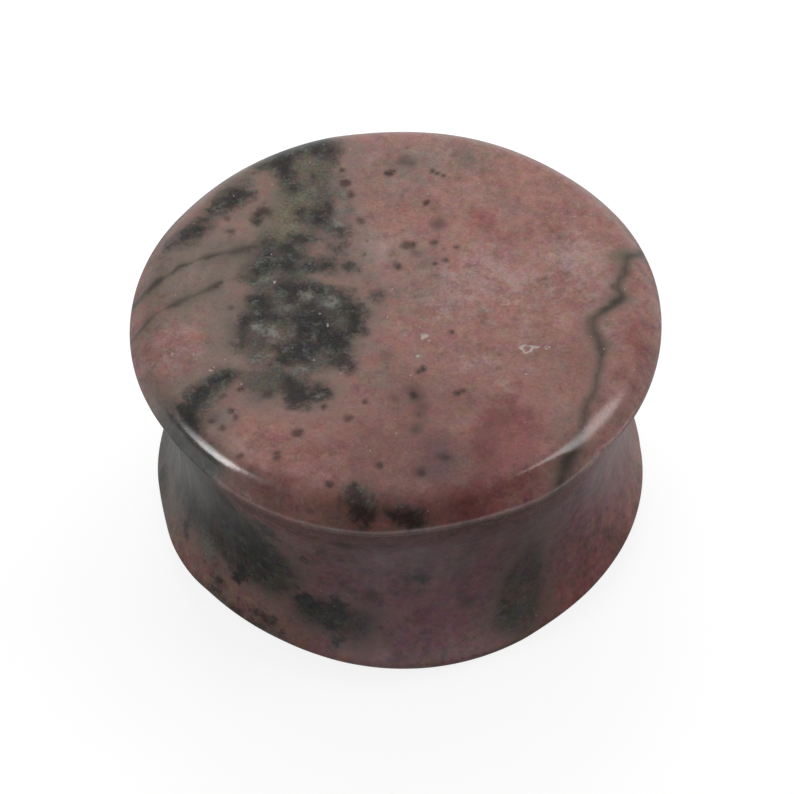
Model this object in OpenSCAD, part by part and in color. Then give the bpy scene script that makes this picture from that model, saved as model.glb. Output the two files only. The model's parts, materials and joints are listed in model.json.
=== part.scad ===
// Double flared ear plug, turned and polished from one piece of pink and black stone.
// Millimetres, +Z up along the plug's axis. The origin is the middle of the lower face,
// so the plug lies on the plane z = 0 as it does on a table.

/* [Plug] */
// Gauge: diameter of the waist, where the stretched lobe sits
gauge_d = 25; // [16:0.5:26]
// Diameter of the two flares at their widest
flare_d = 28; // [27:0.5:36]
// Overall length from face to face
plug_length = 15; // [11:0.5:22]
// Diameter of the flat land in the middle of each face
face_d = 25; // [18:0.25:25.5]
// Height of a flare's widest line over its own face
flare_height = 1.35; // [1:0.05:2.5]

/* [Polished edges] */
// Radius with which the flat land rolls over into the bevel
crease_round = 0.8; // [0.4:0.05:0.9]
// Radius of the widest line of a flare, between its bevel and the waist
edge_round = 0.5; // [0.3:0.05:0.6]

/* [Hidden] */

// Fineness of every turned surface
$fn = 180;
// Neighbouring arcs and straight stretches cross by this much, so that they meet at a
// clear angle instead of just touching
lap = 0.01;
// How far the section's helper corner lies inside the waist's cut
corner_reach = 0.2;

gauge_r = gauge_d / 2;
flare_r = flare_d / 2;
face_r = face_d / 2;
waist_z = plug_length / 2;

// Direction of an angle, and the unit direction from one point to another
function along(angle) = [cos(angle), sin(angle)];
function towards(start, end) = (end - start) / norm(end - start);

// Centres of the two rounds in the lower half of the section, as [radius, height]
crease_at = [face_r, crease_round];
edge_at = [flare_r - edge_round, flare_height];

// The bevel is the straight stretch between the crease round and the edge round
bevel_run = edge_at - crease_at;
bevel_normal = along(
    atan2(bevel_run[1], bevel_run[0]) - acos((crease_round - edge_round) / norm(bevel_run))
);
bevel_start = crease_at + (crease_round - lap) * bevel_normal;
bevel_end = edge_at + (edge_round - lap) * bevel_normal;

// The waist is one hollow arc, gauge_d wide at its middle, that runs into both edge rounds.
// Its radius follows from the distance between its centre and the centre of an edge round.
run = gauge_r - edge_at[0];
rise = waist_z - edge_at[1];
reach = edge_round - lap;
waist_arc_r = (run * run + rise * rise - reach * reach) / (2 * (reach - run));
waist_arc_at = [gauge_r + waist_arc_r, waist_z];
corner = edge_at + (edge_round + corner_reach) * towards(edge_at, waist_arc_at);

// Half of the section, from the lower face up to the waist and from the axis out
module lower_section() {
    difference() {
        union() {
            polygon([
                [0, 0],
                [face_r, 0],
                crease_at,
                bevel_start,
                bevel_end,
                edge_at,
                corner,
                [corner[0], waist_z],
                [0, waist_z]
            ]);
            translate(crease_at) circle(r = crease_round);
            translate(edge_at) circle(r = edge_round);
        }
        translate(waist_arc_at) circle(r = waist_arc_r);
    }
}

// The whole plug: the section and its mirror image, turned round the axis
module stone_plug() {
    color([0.66, 0.45, 0.43])
    rotate_extrude() {
        lower_section();
        translate([0, plug_length]) mirror([0, 1]) lower_section();
    }
}

stone_plug();
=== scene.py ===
"""A double flared ear plug, cut from pink stone with black, grey and olive markings and
polished, lying on one of its faces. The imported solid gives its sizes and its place."""

import json
import math
from collections import namedtuple

import bmesh
import bpy
import numpy as np
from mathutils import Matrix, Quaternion, Vector


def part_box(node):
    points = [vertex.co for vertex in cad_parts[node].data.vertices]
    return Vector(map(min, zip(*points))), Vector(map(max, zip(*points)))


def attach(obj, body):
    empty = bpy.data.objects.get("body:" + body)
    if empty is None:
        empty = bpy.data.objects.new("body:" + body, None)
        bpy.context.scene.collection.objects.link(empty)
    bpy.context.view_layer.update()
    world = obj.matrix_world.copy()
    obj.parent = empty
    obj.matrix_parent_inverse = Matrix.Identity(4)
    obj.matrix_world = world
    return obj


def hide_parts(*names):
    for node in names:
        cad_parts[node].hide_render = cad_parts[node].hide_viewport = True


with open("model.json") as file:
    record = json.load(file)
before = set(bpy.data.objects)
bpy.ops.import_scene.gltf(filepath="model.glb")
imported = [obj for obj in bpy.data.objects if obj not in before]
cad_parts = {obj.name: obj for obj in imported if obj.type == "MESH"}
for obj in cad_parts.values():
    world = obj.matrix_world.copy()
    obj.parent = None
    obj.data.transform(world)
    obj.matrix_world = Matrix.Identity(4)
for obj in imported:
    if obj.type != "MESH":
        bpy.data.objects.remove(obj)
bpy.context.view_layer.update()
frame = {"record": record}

bl_info = {
    "name": "Stone Ear Plug",
    "version": (1, 0, 0),
    "blender": (4, 5, 0),
    "location": "3D View > Sidebar > Ear Plug",
    "description": "Makes a polished, double flared plug of pink and black stone",
    "category": "Add Mesh",
}

MM = 0.001
NODE = "stone_plug"

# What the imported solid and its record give
LOW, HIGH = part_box(NODE)
WAIST = next(mount["dims"] for mount in frame["record"]["mounts"] if mount["name"] == "waist")
FLARE_R = round((HIGH.x - LOW.x) / 2, 5)
LENGTH = round(HIGH.z - LOW.z, 5)
GAUGE_R = WAIST["r_mm"] * MM
FLARE_HEIGHT = (LENGTH - WAIST["length_mm"] * MM) / 2
TOP = LENGTH / MM

# How finely the plug is divided: columns round it, and rows from the middle of the waist
# over the waist, the widest line, the bevel and the crease up to the flat face
COLUMNS = 512
WAIST_ROWS = 22
EDGE_ROWS = 8
BEVEL_ROWS = 5
CREASE_ROWS = 10

# How far the Float Curves of the plug reach, in metres at a height of 1
CURVE_REACH = 0.0025

# How far the upper face waves, and how near to each other vertices are merged, in metres
FACE_WAVE = 0.00004
MERGE_REACH = 1e-6

# How far the crease of the upper face is rolled over, in millimetres, by the angle round
# the plug: 0 is the right, 90 the back, 180 the left and 270 the front
CREASE_ROLL = {
    0: 2.2, 60: 2.3, 120: 2.3, 180: 2.2, 198: 1.8, 210: 1.2, 222: 1.2, 236: 1.1, 262: 1.6, 275: 1.7,
    290: 1.3, 299: 0.7, 306: 0.8, 312: 1.6, 325: 2.4, 338: 2.4, 360: 2.2,
}

# How far the corner between the upper face and its bevel, and each flare's outline, wander
# out of a true circle, in millimetres, by the same angle
CORNER_WANDER = {
    0: 0.05, 40: 0, 140: 0, 185: 0.1, 200: 0.28, 212: 0.4, 222: 0.34, 232: 0.22, 245: 0.08, 262: 0,
    275: 0, 296: -0.12, 304: -0.1, 311: 0.06, 323: 0.34, 335: 0.3, 348: 0.12, 360: 0.05,
}
UPPER_WANDER = {
    0: 0, 18: 0.05, 35: -0.08, 50: -0.2, 70: -0.25, 92: -0.35, 108: -0.17, 125: -0.12, 142: -0.1,
    158: 0.02, 180: 0, 195: -0.08, 205: -0.18, 213: -0.24, 224: -0.22, 232: -0.08, 242: 0, 262: 0,
    272: -0.14, 280: -0.2, 290: -0.17, 301: -0.05, 308: -0.11, 317: -0.2, 328: -0.12, 342: -0.07, 360: 0,
}
LOWER_WANDER = {
    0: -0.05, 60: 0.05, 120: -0.08, 181: 0, 192: -0.07, 208: 0.1, 222: -0.11, 238: -0.19, 246: -0.14,
    258: 0, 270: 0.1, 278: 0.13, 295: 0.05, 306: -0.07, 318: -0.04, 342: 0.05, 360: -0.05,
}

# The places below are in millimetres, with z up from the lower face. A ball on the waist is
# placed by its angle and height, and its middle lies on the hollow of the waist. The
# strength of a ball counts in tints and clearings.
Ball = namedtuple("Ball", "x y z radius strength", defaults=[1.0])


def face(x, y, radius, strength=1.0):
    return Ball(x, y, TOP, radius, strength)


def waist(angle, z, radius, strength=1.0):
    half = TOP / 2
    hollow = (FLARE_R - GAUGE_R) / MM * ((z - half) / half) ** 2
    out = GAUGE_R / MM + hollow
    turn = math.radians(angle)
    return Ball(out * math.cos(turn), out * math.sin(turn), z, radius, strength)


def base(x, y, radius, strength=1.0):
    return Ball(x, y, 0.0, radius, strength)


# Dark zones: each is a chain of balls, and core says how solid its middle is: 0 and less for
# a mottled zone, and 1 for one that is nearly black all through
Zone = namedtuple("Zone", "core balls")
DARK_ZONES = [
    # The patch on the left of the upper face
    Zone(0.6, [face(-2.5, 0, 0.6), face(-1.9, -1, 0.65), face(-2.1, -2.2, 0.6)]),
    Zone(0.9, [face(-3.2, -2.6, 0.9), face(-2.8, -3.9, 0.8), face(-2.4, -4.4, 0.4)]),
    Zone(0.7, [face(-4.6, -1.2, 0.8), face(-4.2, -2.2, 1.1), face(-4.9, -3.5, 0.9)]),
    Zone(0.4, [face(-5.8, -0.4, 1.3), face(-3.3, -0.4, 1.2)]),
    Zone(0.6, [face(-5.7, 0.9, 0.7), face(-4.8, 0.9, 0.7), face(-3.6, 0.7, 0.5)]),
    Zone(0.8, [face(-7, 0.2, 0.5), face(-6.9, -0.9, 0.7)]),
    Zone(0.3, [face(-7.7, -1, 0.35), face(-8, -2.1, 0.5), face(-7.9, -3, 0.35)]),
    Zone(0.5, [face(-6.4, -4, 0.5), face(-5.5, -3.9, 0.5)]),
    Zone(0.4, [face(-6.6, -3, 0.5), face(-5.4, -2.9, 0.6)]),
    Zone(0.6, [face(-1.1, 0.2, 0.4), face(-0.9, 0.4, 0.36)]),
    # Over the patch
    Zone(0.3, [face(-8.4, 3.6, 0.4), face(-7.7, 3.8, 0.5)]),
    Zone(0.4, [face(-6.8, 3.7, 0.4), face(-6.7, 3.1, 0.5), face(-6.9, 2.4, 0.45)]),
    Zone(0.2, [face(-7.8, 1.9, 0.35), face(-7.3, 2.2, 0.4)]),
    Zone(0.4, [face(-5.7, 3.9, 0.4), face(-5.6, 3.2, 0.35), face(-5.5, 2.6, 0.45)]),
    Zone(0.3, [face(-5.2, 4.4, 0.45), face(-4.5, 4.4, 0.35)]),
    Zone(0.4, [face(-4.7, 2.6, 0.4), face(-3.2, 2.4, 0.35)]),
    Zone(0.3, [face(-2.5, 2.4, 0.3), face(-2.4, 2.3, 0.3)]),
    Zone(0.3, [face(-3.3, 4, 0.35), face(-2.9, 3.6, 0.4)]),
    Zone(0.3, [face(-2.6, 4.7, 0.3), face(-3.1, 5.2, 0.25)]),
    # From there up to the back rim
    Zone(0.4, [face(-3.4, 6.9, 0.45), face(-3.8, 6.1, 0.7)]),
    Zone(0.2, [face(-5, 6.5, 0.3), face(-4.9, 6.1, 0.25)]),
    Zone(0.5, [face(-6.1, 11.2, 0.9), face(-6, 9.7, 0.6), face(-5.4, 8.5, 0.55)]),
    Zone(0.3, [face(-4.3, 9.2, 0.35), face(-4.2, 9.1, 0.3)]),
    Zone(0.3, [Ball(-4.5, 12.8, 13.5, 1), face(-4.2, 11.8, 0.8), face(-3.4, 10.9, 0.6),
               face(-3.1, 10.4, 0.3)]),
    Zone(0.1, [face(-6.9, 10.6, 0.7), face(-5.2, 11.7, 0.7)]),
    # Left of that
    Zone(0.5, [face(-8.4, 7.8, 0.8), face(-9.2, 7.3, 0.6), face(-9.7, 6.9, 0.35)]),
    Zone(0.4, [face(-10.2, 6.1, 0.28), face(-10.1, 6.2, 0.28)]),
    Zone(0.4, [face(-10.6, 5.4, 0.45), face(-11.1, 4.9, 0.4)]),
    Zone(0.2, [face(-12.2, 4.7, 0.4), face(-12.8, 4, 0.5)]),
    Zone(0.2, [face(-6.9, 6.6, 0.45), face(-7.2, 6, 0.4)]),
    Zone(0.3, [face(-8, 3.9, 0.4), face(-6.9, 4.1, 0.5)]),
    # Under the patch, and down the left bevel
    Zone(0.4, [face(-8.5, -4.7, 0.45), face(-9.3, -5.1, 0.5)]),
    Zone(0.6, [face(-9.8, -5.8, 0.6), face(-10.4, -6.7, 0.85), face(-10.4, -7.4, 0.7)]),
    Zone(0.2, [face(-9.2, -6.4, 0.5), face(-9.7, -7, 0.5)]),
    Zone(0.4, [face(-10.6, -7.7, 0.8), waist(221, 13.6, 0.9), waist(222, 12.5, 0.6)]),
    Zone(0.1, [Ball(-11.4, -7.6, 14.2, 0.8), Ball(-9.8, -9.6, 14.2, 0.8)]),
    Zone(0.8, [face(-5.4, -5.3, 0.4), face(-5, -6.3, 0.75)]),
    Zone(0.4, [face(-4.4, -6.4, 0.45), face(-3.9, -6.1, 0.45)]),
    # Front rim
    Zone(0.4, [Ball(-2.2, -12.5, 14.8, 0.75), Ball(-1.6, -13.1, 14.5, 0.7)]),
    Zone(0.4, [Ball(-0.6, -13.1, 14.4, 0.6), Ball(0.7, -13.4, 14.2, 0.55)]),
    # Left of the waist
    Zone(-0.1, [waist(186, 9, 1.6), waist(200, 9, 1.4), waist(218, 7, 2.2), waist(229, 7, 2)]),
    Zone(1.1, [waist(232, 7.4, 0.8), waist(234, 6, 1), waist(228, 6.2, 0.7)]),
    Zone(0.7, [waist(230, 4.8, 0.6), waist(226, 3.6, 0.6), waist(222, 4.2, 0.4)]),
    Zone(0.1, [waist(222, 2, 0.6), waist(228, 1.4, 0.5)]),
    Zone(0.3, [waist(215, 5.4, 0.4), waist(206, 5.6, 0.45)]),
    Zone(0.4, [waist(207, 4.6, 0.4), waist(206, 3.2, 0.5)]),
    Zone(0.3, [waist(237, 9.4, 0.6), waist(232, 8.6, 0.5)]),
    Zone(0.2, [waist(225, 9.8, 0.8), waist(218, 9.4, 0.6)]),
    # Front of the waist
    Zone(1.1, [waist(245, 4.4, 0.5), waist(253.5, 4.5, 0.8)]),
    Zone(0.8, [waist(253.5, 3.3, 0.6), waist(255, 2.5, 0.35)]),
    Zone(0.3, [waist(274, 7.4, 0.35), waist(275, 7, 0.3)]),
    Zone(0.4, [waist(246, 8.2, 0.28), waist(246.5, 7.9, 0.25)]),
    Zone(0.6, [waist(235, 1.4, 0.7), waist(239, 2, 0.55)]),
    Zone(-0.4, [waist(301, 5.8, 0.5), waist(299, 3.8, 0.9)]),
    # Back of the waist
    Zone(0.4, [waist(110, 12.8, 1.3), waist(117, 9.5, 1.8), waist(110, 6, 1.6), waist(104, 3, 1.2),
               waist(101, 1, 1)]),
    Zone(0.1, [waist(127, 10.5, 1.2), waist(124, 6.5, 1.4)]),
    Zone(0.5, [waist(93, 10.2, 0.4), waist(90, 9.6, 0.3)]),
    Zone(0.4, [waist(84, 6.6, 0.5), waist(80, 5.8, 0.35)]),
    Zone(0.3, [waist(149, 12.6, 0.7), waist(155, 9.2, 0.9), waist(150, 5, 0.8)]),
    Zone(0.3, [waist(170, 3, 0.8), waist(186, 2.2, 0.6)]),
    # Lower face
    Zone(0.9, [base(-4, 2.2, 2.1), base(-6.2, -1.8, 1.8), base(-7.6, -6, 1.3)]),
    Zone(0.1, [base(-2.4, 5.6, 1.3), base(-3.2, 9.4, 1.5), base(-3, 12.2, 1)]),
    Zone(0.2, [base(-8, -7.6, 0.9), base(-6.8, -10.6, 1.1)]),
    Zone(0.5, [base(1.4, -2.8, 0.4), base(2.2, -3.6, 0.3)]),
]

# Wider, brown grey zones, in which the dark ones lie
SMOKE_ZONES = [
    # Upper face and its bevel
    Zone(0.8, [Ball(-5.4, 12.6, 13.6, 2), face(-6.4, 11, 1.6), face(-4, 11.4, 1.2)]),
    Zone(0.5, [face(-5, 10, 1.7), face(-4.7, 7.8, 1.5), face(-4.9, 5.4, 1.3)]),
    Zone(0, [face(-3.5, 8.6, 0.8), face(-3.2, 5.8, 0.9), face(-3, 4, 0.8)]),
    Zone(0.9, [face(-5.7, 4, 1.5), face(-6.2, 2.2, 1.8)]),
    Zone(0.4, [face(-4.8, 2.6, 0.8), face(-2.6, 2.4, 0.5)]),
    Zone(1.2, [face(-5.4, -0.2, 2.1), face(-4.2, -1.4, 2.4), face(-4.6, -2.8, 2)]),
    Zone(0.9, [face(-6.9, 0.2, 1), face(-7.1, -2.2, 1.2), face(-7, -3.7, 0.9)]),
    Zone(0.2, [face(-8.6, 9, 1), face(-8.9, 7.6, 0.9), face(-9.8, 6.8, 0.5)]),
    Zone(0.2, [face(-10.2, 6, 0.5), face(-11.2, 4.9, 0.7)]),
    Zone(0.5, [face(-8.2, -4.6, 0.6), face(-9.7, -6, 0.8), face(-10.1, -7.4, 0.8)]),
    Zone(0.3, [face(-7.2, -5.1, 0.8), face(-5.2, -5.6, 0.9), face(-4.1, -6.1, 0.7)]),
    Zone(0.9, [Ball(-11.4, -7.8, 14, 1.3), Ball(-9.8, -9.7, 14, 1.1)]),
    # Front and left of the waist
    Zone(0.9, [waist(184, 8, 4.5), waist(214, 8, 4), waist(234, 6, 2.2)]),
    Zone(0.4, [waist(247, 4, 0.9), waist(258, 3.8, 1)]),
    Zone(0.2, [waist(302, 7, 0.5), waist(300, 5.2, 1.2), waist(297, 2.8, 1.3)]),
    # Back of the waist
    Zone(0.8, [waist(112, 12.5, 2.4), waist(118, 9, 3), waist(112, 5, 2.6), waist(104, 2, 2)]),
    Zone(0.3, [waist(150, 12.6, 1.2), waist(156, 9, 1.5), waist(150, 4.5, 1.4)]),
    Zone(0.3, [waist(168, 3, 1.3), waist(188, 2, 1.2)]),
    # Lower face
    Zone(0.9, [base(-3.6, 3.6, 2.8), base(-6, -1.6, 2.6), base(-7.8, -6.6, 2)]),
    Zone(0.4, [base(-2.6, 6, 1.8), base(-3.4, 11.6, 2)]),
    Zone(0.3, [base(-7.8, -7.6, 1.4), base(-6.4, -11, 1.5)]),
]

# Tints: soft balls, in which a colour gains strength, or loses it where that is below 0
TINTS = {
    "rose": [
        face(-11.6, -2.8, 1.8, 0.4), face(-4.5, -10, 2.6, 0.55), face(-10, -0.4, 1.4, -0.6),
        face(5.6, -11, 1.8, 0.6), face(-12.2, 0.4, 1.4, -0.6), face(5.7, -7.8, 1.6, 0.6),
        face(1.5, 10.5, 2.5, -0.5), waist(322, 4, 4.5, 0.8), waist(342, 7, 4, 0.7), waist(306, 2, 3, 0.5),
        face(4.5, -9.3, 1.3, 0.9), face(6, -9, 1.5, 0.4), face(4.6, 5.5, 1, 0.8),
        face(5.6, 4.3, 1.2, 0.5), face(6.9, 4.2, 0.9, 0.5), face(8.2, 5.5, 1.1, 0.3),
        face(9.8, 7.3, 1.6, 0.4), Ball(3.5, -13, 14.6, 1.6, 1.2), face(12.5, -3, 1.5, 0.4),
        face(-0.7, 3.5, 1, -0.6), face(-1, 5.3, 1.3, -0.4), face(9.5, 3, 1.5, -0.4),
        face(5.5, 0.3, 1.5, -0.3), waist(325, 3.5, 3.2, 0.7), waist(312, 6, 3.5, 0.7),
        waist(334, 5, 3, 0.4), waist(285, 6.5, 3.5, 0.3), waist(30, 8, 3.5, 0.4), waist(70, 4, 3, 0.4),
        base(6.5, 2, 3, 0.5), base(2.5, -9.5, 2.5, 0.4), base(8, -6, 2, -0.4),
    ],
    # Dusk is partly the stone's duskier zones and partly painted shade: it darkens the front of the upper
    # face, its front bevel, and the low front of the waist under the upper flare
    "dusk": [
        face(1.5, -7.5, 5.5, 0.4), face(9.3, -4.5, 2.4, 0.5), face(0.3, -6.2, 1.6, 0.3),
        face(-9, 3.1, 1.2, 0.6), face(-2.8, -0.2, 1.6, 0.3), face(-5.5, -9.5, 2.5, 0.2),
        waist(282, 4.5, 3, 0.4), waist(298, 2, 2.5, 0.6), waist(240, 9.5, 3, 0.3),
        face(2.2, -10.4, 1.6, 0.5), face(1, -12.2, 2, 0.5), face(3.9, -10.3, 1, 0.5),
        face(-1.4, -9.4, 1.6, 0.5), face(1, -8.2, 1.2, 0.2), face(5.2, -7.8, 1.2, 0.4),
        face(3.2, -6.9, 1.2, 0.3), face(7.8, -9.4, 1, 0.5), Ball(-2, -13.2, 14.4, 2.2, 1),
        Ball(2.5, -13.4, 14.3, 2.4, 0.65), Ball(-6.5, -12, 14.3, 1.6, 0.7),
        Ball(7, -11.8, 14.2, 1.8, 0.3), face(5.4, 5, 0.7, 0.3), face(7.2, 4.9, 0.5, 0.3),
        face(-0.5, -3.8, 0.5, 0.5), face(1.6, 5.6, 1, 0.3), waist(300, 9, 3, 0.4), waist(0, 4, 2.5, 0.4),
        base(4, -4, 2.5, 0.5), base(9, 5, 2, 0.5),
    ],
    "milky": [
        face(-1, 3.5, 1, 0.6), face(9.8, 2.8, 1.4, 0.3), face(4.6, 1.4, 1.3, 0.2),
        face(2.4, 0.5, 1.2, 0.2),
    ],
    "plum": [
        waist(262, 8, 4.5, 1), waist(282, 8, 4.5, 1), waist(302, 8, 4, 0.8), waist(320, 9, 4, 0.6),
        waist(338, 6, 4, 0.4), waist(252, 4, 3, 0.7), waist(275, 2.5, 3, 0.6), waist(20, 6, 4, 0.4),
        face(1.9, -10.5, 1, 0.6), face(-1.5, -1.6, 0.6, 0.4),
    ],
    "frost": [
        face(-6.4, -2.1, 0.5, 0.9), face(-7.2, -1.7, 0.35, 0.8), face(-4.6, 0.5, 0.5, 0.7),
        face(-3.3, 0, 0.5, 0.7), face(-5.6, -0.5, 0.5, 0.45), face(-5.9, -3.1, 0.8, 0.35),
        face(-2.9, -1, 0.9, 0.25), face(-6.9, 3.9, 0.9, 0.3), face(-6.8, 1.7, 0.5, 0.5),
        face(-4.8, -4.6, 0.5, 0.5), face(-7.1, -3.8, 0.6, 0.6), face(-2.9, 5.6, 0.5, 0.8),
        face(-2.7, 6.8, 0.6, 0.6), face(-2.6, 7.8, 0.4, 0.6), face(-9.3, -6, 0.3, 0.4),
        waist(212, 7.2, 0.8, 0.5), face(1.1, -3.9, 0.5, 0.6), face(3.5, -5, 0.5, 0.3),
        face(-11.6, 5.2, 0.6, 0.3), waist(205, 11, 1.2, 0.4), waist(196, 4, 1.5, 0.2),
        waist(216, 3.8, 0.9, 0.8), base(-5.4, 0.6, 1, 0.6),
    ],
    "olive": [
        face(-6, 6.5, 2, 1), face(-5.7, 4.8, 1, 0.6), face(-5, 8.8, 1.5, 0.7), face(-6.5, 11, 1.7, 0.7),
        face(-8.6, 9.6, 1.5, 0.6), face(-3.6, 11, 1.6, 0.6), face(11.9, 2.4, 0.9, 0.5),
        face(12.6, 2.7, 0.8, 0.6), face(11.3, -0.3, 0.7, 0.6), face(7.5, 5, 0.8, 0.3),
        waist(196, 2.5, 2.2, 0.6), waist(205, 9, 3, 0.5), waist(215, 11.5, 2.5, 0.6),
        waist(275, 9.8, 0.8, 0.3), face(-8.9, -3, 0.9, 0.4), face(-8.6, 3.4, 0.9, 0.3),
        waist(118, 8, 3, 0.6), base(-7.5, 3.5, 2.2, 0.8), base(-9.5, -2, 1.5, 0.5),
    ],
    "tan": [
        face(-10.4, 2.6, 2.2, 1.1), face(-8.9, -1, 1, 0.9), face(-9.9, -0.2, 1.6, 0.6),
        face(-12.6, -1.6, 1.3, 0.5), Ball(-12.4, -4.8, 14.6, 1.2, 0.5), waist(196, 3, 3, 0.8),
        face(-8.9, -3, 1, 0.9), face(-10.2, -4.6, 1, 0.7), Ball(-11.6, -6.4, 14.8, 1.4, 0.9),
        face(-12.6, 3, 1.2, 0.6), face(8.6, -8.5, 1.2, 0.6), face(9.6, -6.5, 1, 0.4),
        face(1, 2, 2.2, 0.4), face(0.6, 9.3, 2.2, 0.8), face(3.5, 11, 2.2, 0.6), face(-12, 0.4, 1.3, 0.7),
        face(-1, -5.5, 1.6, 0.3), face(6.5, 9.5, 2, 0.3), face(6, 6.2, 1.3, 0.3), waist(222, 1, 2, 0.8),
        face(-2, 0, 7, 0.4), face(-9.2, 4, 2, 0.4), waist(216, 3.8, 1, 1.2), waist(150, 8, 2.5, 0.5),
        base(-1, -6, 2, 0.5), base(5, 8, 2.2, 0.4),
    ],
    "grey": [
        face(1, -6.5, 1, 0.6), face(1.2, -9, 1.4, 0.3), face(-9.4, 0.4, 1.6, 0.4),
        face(12.2, 2.4, 1, 0.6), face(10.8, -0.4, 0.8, 0.6), face(11.4, 1.2, 0.8, 0.5),
        face(1.8, -10.8, 1.3, 0.8), face(-2.8, 5.5, 1.2, 0.6), face(-3.2, 8.5, 1.4, 0.7),
        face(-6.8, -5.5, 1.3, 0.8), face(-8.8, -7.2, 1.2, 0.8), face(-4.6, -4.9, 1, 0.6),
        face(-8, 8.8, 1.2, 0.4), face(1.3, 9.8, 1.2, 0.5), face(-2, 10.8, 2, 0.5), face(2.2, 2.6, 1, 0.5),
        face(-11.6, 6.2, 1.2, 0.5), face(-12.2, 0.6, 1.3, 0.4), waist(222, 7, 4, 0.8),
        waist(262, 10, 3.5, 0.6), waist(274, 7, 1.5, 0.4), waist(300, 6, 2.2, 0.7), waist(112, 7, 4, 0.7),
        waist(278, 8, 4, 0.4), waist(248, 6.4, 1.4, -0.5), base(-5, 0, 4, 0.6), base(3.5, -5, 1.8, 0.5),
    ],
}

# Where the dark mineral is thinned, so that its ground shows
CLEARINGS = [
    face(-6.4, -2.1, 0.7, 0.8), face(-7.2, -1.75, 0.4, 0.8), face(-5.7, -0.6, 0.6, 0.7),
    face(-6.2, 0.2, 0.5, 0.5), face(-4.6, 0.5, 0.5, 0.7), face(-3.3, 0, 0.5, 0.8),
    face(-3, -1.1, 0.5, 0.5), face(-5.6, -2.3, 0.6, 0.5), face(-4, -3.9, 0.35, 0.6),
    face(-7.2, -3.6, 0.6, 1.2), face(-6.6, 1.6, 0.5, 0.5), face(-4.9, -4.6, 0.5, 0.8),
    face(-10.4, -6.6, 0.8, 0.3), face(-4.2, -0.3, 0.4, 0.3), face(-6.6, -3.5, 0.4, 0.4),
    face(-2.3, -0.1, 0.3, 0.3), face(-9.1, -7.2, 0.8, 0.5), face(-8.2, -2, 0.5, 0.3),
    waist(216, 3.7, 0.9, 1), waist(247, 6.4, 1.2, 0.8),
]

# Thin dark sheets in the stone. Each shows as a vein: a line that runs along one axis and
# strays across it, with its half width below 0 where it has died out, and drifts sideways
# with the depth under the upper face. Soft is how far its dark edge fades out.
Station = namedtuple("Station", "along across half_width")
Vein = namedtuple("Vein", "runs_along drift soft stations")
VEINS = [
    # On the right
    Vein("y", -0.2, 0.4, [
        Station(-13.6, 7.7, 0.1), Station(-11.5, 8, 0.16), Station(-10.4, 8.3, 0.26),
        Station(-9.6, 8.8, 0.15), Station(-8.7, 9.1, 0.04), Station(-7.6, 9.3, 0.1),
        Station(-7, 9.6, 0.1), Station(-6.3, 9.9, 0.02), Station(-5.4, 10.15, 0),
        Station(-4.6, 10.35, 0.03), Station(-3.8, 10.45, 0.14), Station(-3.1, 10.3, 0.2),
        Station(-2.4, 10.15, 0.22), Station(-1.9, 10.2, 0.2), Station(-1.5, 10.5, 0.24),
        Station(-1.1, 11, 0.3), Station(-0.6, 11.6, 0.3), Station(-0.2, 11.8, 0.18),
        Station(0.3, 11.65, 0.14), Station(0.8, 11.8, 0.16), Station(1.3, 12.15, 0.12),
        Station(2, 12.3, 0.08), Station(2.5, 12.5, 0.14), Station(2.9, 13, 0.2), Station(3.6, 13.6, 0.12),
        Station(4.4, 14.2, -0.6),
    ]),
    # On the left
    Vein("x", 0.5, 0.22, [
        Station(-14, 0.3, 0.15), Station(-13.2, 1, 0.25), Station(-12.5, 1.75, 0.32),
        Station(-11.9, 2.2, 0.06), Station(-11.4, 2.7, 0.18), Station(-10.7, 3.1, -0.05),
        Station(-10, 3.35, 0.16), Station(-9.2, 3.6, 0.12), Station(-8.4, 3.75, 0.24),
        Station(-7.6, 3.95, 0.2), Station(-6.8, 4, -0.6),
    ]),
    # Under that
    Vein("x", 0.5, 0.2, [
        Station(-14, -2.2, 0.05), Station(-13.3, -1.5, 0.12), Station(-12.8, -0.9, 0.12),
        Station(-12.2, -0.3, 0), Station(-11.6, 0.05, 0.25), Station(-10.9, 0.45, 0.2),
        Station(-10.3, 0.8, 0.1), Station(-9.7, 1.15, 0.22), Station(-9.1, 1.5, 0.2),
        Station(-8.9, 1.6, -0.05), Station(-7.9, 1.85, 0.06), Station(-7.2, 1.9, -0.6),
    ]),
]
VEIN_HALF_WIDTHS = (-0.6, 0.8)

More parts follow.
